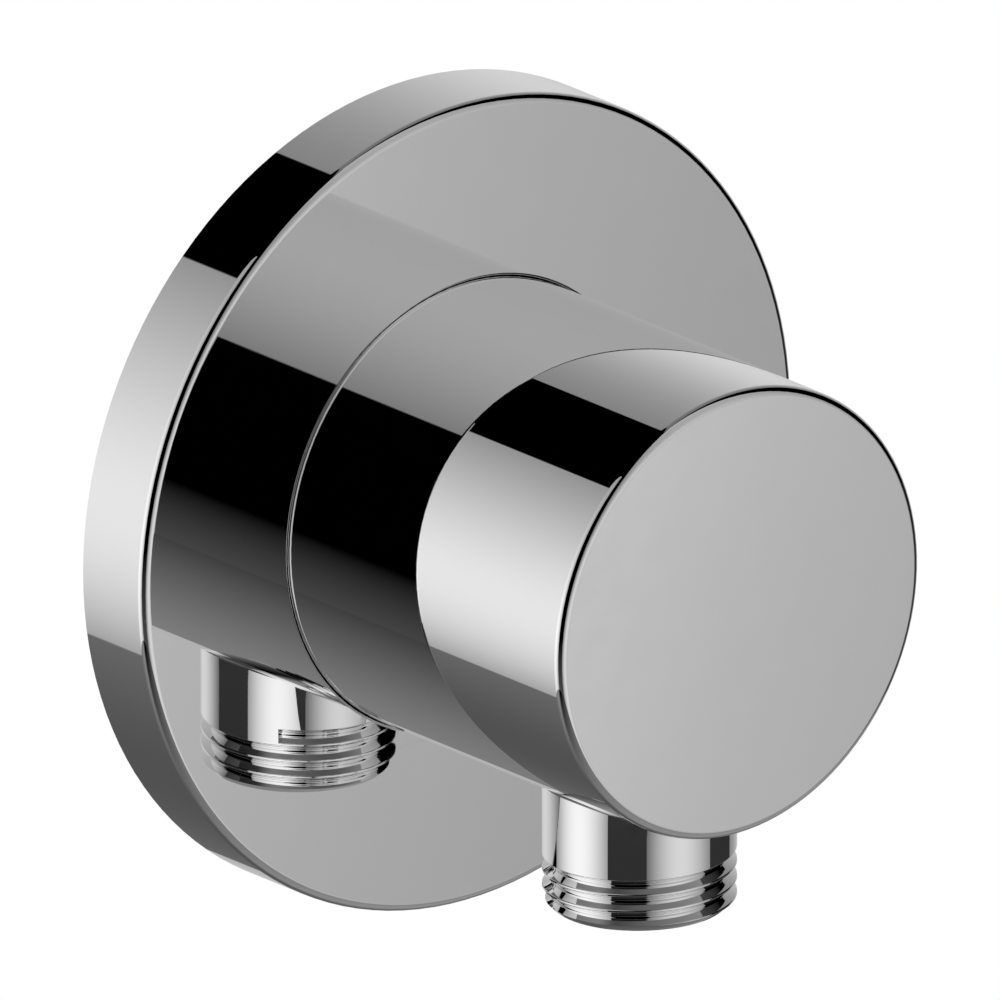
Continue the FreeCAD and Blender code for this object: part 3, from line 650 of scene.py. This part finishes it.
SPRING_TURNS = 5
TURN_STEPS = 72
COIL_RADIUS = 3.0 * MM
WIRE = 0.35 * MM
WIRE_SIDES = 16
WIRE_CREASE = radians(40)

spring_low, spring_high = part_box("valve_spring")
spring_height = spring_high.z - spring_low.z
bpy.ops.object.select_all(action="DESELECT")
bpy.ops.mesh.primitive_circle_add(vertices=WIRE_SIDES, radius=WIRE / 2)
spring = bpy.context.object
spring.name = "valve_spring_coil"
for vertex in spring.data.vertices:
    across, along, _ = vertex.co
    vertex.co = (0, COIL_RADIUS + across, along)
coil = spring.modifiers.new("coil", "SCREW")
coil.axis = "Z"
coil.angle = 2 * pi * SPRING_TURNS
coil.screw_offset = spring_height - WIRE
coil.steps = coil.render_steps = SPRING_TURNS * TURN_STEPS
bpy.ops.object.modifier_apply(modifier=coil.name)
bpy.ops.object.mode_set(mode="EDIT")
bpy.ops.mesh.select_all(action="SELECT")
bpy.ops.mesh.fill_holes(sides=0)
bpy.ops.mesh.select_all(action="SELECT")
bpy.ops.mesh.normals_make_consistent(inside=False)
bpy.ops.object.mode_set(mode="OBJECT")
spring.location = (outlet_axis.x, outlet_axis.y, spring_low.z + WIRE / 2)
bpy.ops.object.transform_apply(location=True, rotation=False, scale=False)
bpy.ops.object.shade_smooth_by_angle(angle=WIRE_CREASE)
in_place_of(spring, "valve_spring", "elbow", steel)
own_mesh(spring)

# Floor
# A plain white floor, evenly lit, well below the elbow.
# The polished metal doesn't mirror it.

FLOOR_DROP = 60 * MM
FLOOR_SIZE = 14.0

bpy.ops.object.select_all(action="DESELECT")
bpy.ops.mesh.primitive_plane_add(size=FLOOR_SIZE, location=(0, 0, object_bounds()[0].z - FLOOR_DROP))
floor = bpy.context.object
floor.name = "floor"
white = bpy.data.materials.new("floor_white")
white.use_nodes = True
white.node_tree.nodes.clear()
glow = white.node_tree.nodes.new("ShaderNodeEmission")
floor_out = white.node_tree.nodes.new("ShaderNodeOutputMaterial")
white.node_tree.links.new(glow.outputs["Emission"], floor_out.inputs["Surface"])
floor.data.materials.append(white)
floor.visible_glossy = False

# Studio light
# Three soft boxes stand round the elbow with dark gaps between them: one at the left, one behind
# at the right and one in front. Below them lies the dark of the studio's own floor.

world = bpy.data.worlds.new("studio")
bpy.context.scene.world = world
world.use_nodes = True
sky = world.node_tree
way = sky.nodes.new("ShaderNodeTexCoord")
split = sky.nodes.new("ShaderNodeSeparateXYZ")
sky.links.new(way.outputs["Generated"], split.inputs["Vector"])
X, Y, Z = split.outputs


def reckon(operation, *values):
    """One sum on numbers or on other sums."""
    node = sky.nodes.new("ShaderNodeMath")
    node.operation = operation
    for socket, value in zip(node.inputs, values):
        if isinstance(value, (int, float)):
            socket.default_value = value
        else:
            sky.links.new(value, socket)
    return node.outputs[0]


def plane(x, y, z, shift=0.0):
    """How far a direction lies on the bright side of a plane."""
    flat = reckon("ADD", reckon("MULTIPLY", X, x), reckon("MULTIPLY", Y, y))
    return reckon("ADD", reckon("MULTIPLY_ADD", Z, z, flat), shift)


def lit(side, soft=0.003):
    """Dark to bright across an edge, a little blurred."""
    span = sky.nodes.new("ShaderNodeMapRange")
    span.interpolation_type = "SMOOTHSTEP"
    span.inputs["From Min"].default_value = -soft
    span.inputs["From Max"].default_value = soft
    sky.links.new(side, span.inputs["Value"])
    return span.outputs["Result"]


def times(*values):
    """The product of several values."""
    product = values[0]
    for value in values[1:]:
        product = reckon("MULTIPLY", product, value)
    return product


def brightest(*values):
    """The greatest of several values."""
    most = values[0]
    for value in values[1:]:
        most = reckon("MAXIMUM", most, value)
    return most


def box_within(*edges):
    """The outline of a soft box: the directions on the bright side of all its edges."""
    return times(*(lit(plane(*edge)) for edge in edges))


def spot(middle, width, strength):
    """The bright middle of a soft box, falling off round a direction."""
    near = plane(*Vector(middle).normalized())
    fall = reckon("MULTIPLY", reckon("SUBTRACT", near, 1), 1 / width)
    return times(reckon("EXPONENT", fall), strength)


left_box = box_within((-1, -0.445, 0), (-0.2126, 1, 0), (-2.07, 0, -1))
left_spot = spot((-0.817, 0.4, -0.416), width=0.579, strength=2.306)
left = times(left_box, reckon("ADD", left_spot, plane(0, 0, 1, shift=-1)))

behind_box = box_within((1, -0.2087, 0), (-0.0787, 1, 0))
behind_spot = spot((0.603, 0.795, -0.063), width=0.214, strength=0.524)
behind = times(behind_box, reckon("ADD", behind_spot, 0.142))

front_box = box_within((1, -0.573, -0.093), (-0.767, -1, 0))
front_spot = spot((0.088, -0.857, -0.508), width=0.346, strength=1.121)
front = times(front_box, reckon("ADD", front_spot, plane(0.209, 0, 0.588, shift=-0.211)))

# Low down in front and at the sides, a little light gets into the gaps.
gaps = times(lit(plane(0, -1, 0, shift=0.4)), plane(0, 0, -0.186, shift=-0.0351))

# The studio's floor brightens downwards and to the right in front, and to both sides behind.
HORIZON_DROP = 0.512
floor_in_front = plane(0.167, 0, -0.176, shift=0.039)
floor_behind = reckon("MULTIPLY_ADD", times(X, X), 0.232, 0.084)
floor_change = times(lit(Y, soft=0.2), reckon("SUBTRACT", floor_behind, floor_in_front))

above = lit(plane(0, 0, 1, shift=HORIZON_DROP))
upper = times(above, brightest(left, behind, front, gaps, 0.0))
lower = times(reckon("SUBTRACT", 1, above), reckon("ADD", floor_in_front, floor_change))
light = brightest(reckon("ADD", upper, lower), 0.0)
sky.links.new(light, sky.nodes["Background"].inputs["Color"])

# Shaded cards
# Far off, where the flat faces mirror them, hang small cards that darken from left to right.
# There is one for each of the three sides from which the elbow is looked at most.

CARD_DISTANCE = 15.0
CARD_SIZE = 0.2
CARD_SLANT = -0.3
CARD_SHADES = ((-58, 0.563), (-41, 0.476), (-19, 0.419), (0, 0.388), (19, 0.353))


def shaded_card(name, azimuth, elevation):
    """A card that the faces towards the front mirror, seen from an azimuth and an elevation."""
    turn, rise = radians(azimuth), radians(elevation)
    way = Vector((-sin(turn) * cos(rise), -cos(turn) * cos(rise), -sin(rise)))
    bpy.ops.mesh.primitive_plane_add(size=CARD_SIZE, location=way * CARD_DISTANCE)
    card = bpy.context.object
    card.name = name
    card.rotation_euler = way.to_track_quat("Z", "Y").to_euler()
    card.visible_camera = card.visible_diffuse = card.visible_shadow = False
    shade = bpy.data.materials.new(name)
    shade.use_nodes = True
    tree = shade.node_tree
    tree.nodes.clear()
    place = tree.nodes.new("ShaderNodeTexCoord")
    apart = tree.nodes.new("ShaderNodeSeparateXYZ")
    slanted = tree.nodes.new("ShaderNodeMath")
    across = tree.nodes.new("ShaderNodeMapRange")
    ramp = tree.nodes.new("ShaderNodeValToRGB")
    glow = tree.nodes.new("ShaderNodeEmission")
    out = tree.nodes.new("ShaderNodeOutputMaterial")
    slanted.operation = "MULTIPLY_ADD"
    slanted.inputs[1].default_value = CARD_SLANT
    across.inputs["From Min"].default_value = -CARD_SIZE / 2
    across.inputs["From Max"].default_value = CARD_SIZE / 2
    stops = ramp.color_ramp.elements
    while len(stops) < len(CARD_SHADES):
        stops.new(0.5)
    for stop, (place_mm, grey) in zip(stops, CARD_SHADES):
        stop.position = 0.5 + place_mm * MM / CARD_SIZE
        stop.color = (grey, grey, grey, 1)
    tree.links.new(place.outputs["Object"], apart.inputs["Vector"])
    tree.links.new(apart.outputs["Y"], slanted.inputs[0])
    tree.links.new(apart.outputs["X"], slanted.inputs[2])
    tree.links.new(slanted.outputs["Value"], across.inputs["Value"])
    tree.links.new(across.outputs["Result"], ramp.inputs["Fac"])
    tree.links.new(ramp.outputs["Color"], glow.inputs["Color"])
    tree.links.new(glow.outputs["Emission"], out.inputs["Surface"])
    card.data.materials.append(shade)


PHOTO_AZIMUTH = -40.0
PHOTO_ELEVATION = 20.0

bpy.ops.object.select_all(action="DESELECT")
shaded_card("card_photo", PHOTO_AZIMUTH, PHOTO_ELEVATION)
shaded_card("card_right", 45, 25)
shaded_card("card_front", 0, 3)

# Camera
# It looks down at the elbow from the front and the left, without perspective.
# It is moved sideways and down a little, to set the elbow in the picture.

PHOTO_WIDTH = 107.18 * MM
CAMERA_DISTANCE = 0.5
SIDE_SHIFT = 10.026 * MM
RISE_SHIFT = -2.368 * MM

turn, rise = radians(PHOTO_AZIMUTH), radians(PHOTO_ELEVATION)
back = Vector((sin(turn) * cos(rise), -cos(turn) * cos(rise), sin(rise)))
side = Vector((cos(turn), sin(turn), 0))
up = back.cross(side)
camera = bpy.data.objects.new("camera", bpy.data.cameras.new("camera"))
bpy.context.scene.collection.objects.link(camera)
camera.data.type = "ORTHO"
camera.data.ortho_scale = PHOTO_WIDTH
camera.data.clip_start = 1 * MM
camera.data.clip_end = 100
camera.location = back * CAMERA_DISTANCE + side * SIDE_SHIFT + up * RISE_SHIFT
camera.rotation_euler = back.to_track_quat("Z", "Y").to_euler()
bpy.context.scene.camera = camera
bpy.context.scene.view_settings.view_transform = "Standard"
